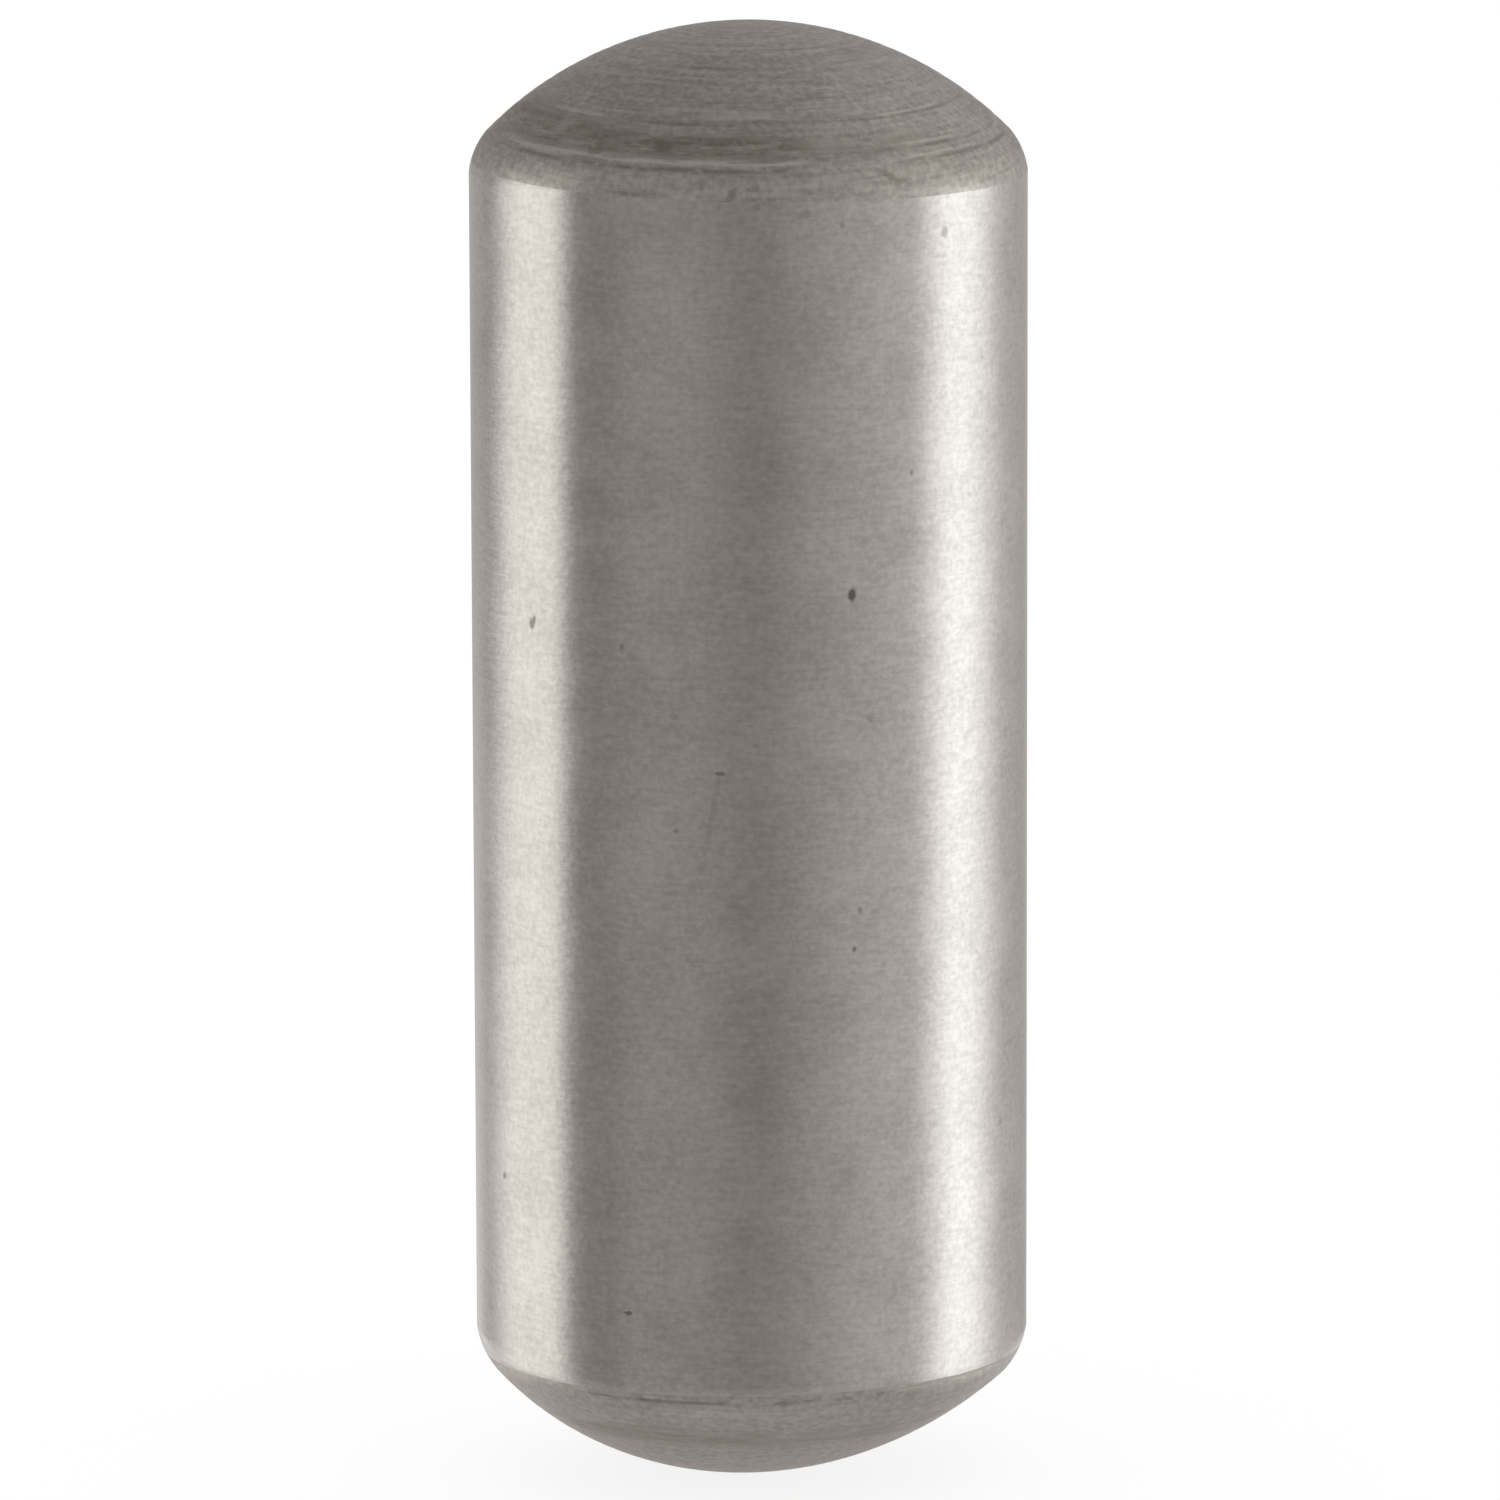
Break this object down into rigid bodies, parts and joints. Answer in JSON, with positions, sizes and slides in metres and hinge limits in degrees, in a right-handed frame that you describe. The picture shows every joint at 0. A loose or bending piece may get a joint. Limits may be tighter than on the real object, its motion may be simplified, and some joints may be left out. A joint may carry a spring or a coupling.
{
  "type": "interlock pin",
  "caption": "Solid steel interlock pin: ground cylindrical shank with domed ends and rounded shoulders, which slides in a cross bore between gearbox shift rails and locks the idle rail.",
  "frame": {"origin": "middle of the pin, on its axis", "axes": "+Z along the pin's axis; the ends are alike"},
  "size_m": [0.008, 0.008, 0.021],
  "materials": {
    "steel": "satin ground shank, duller turned domes with fine rings and brown stain"
  },
  "bodies": {
    "root": {"interlock_pin": "steel"}
  },
  "joints": []
}
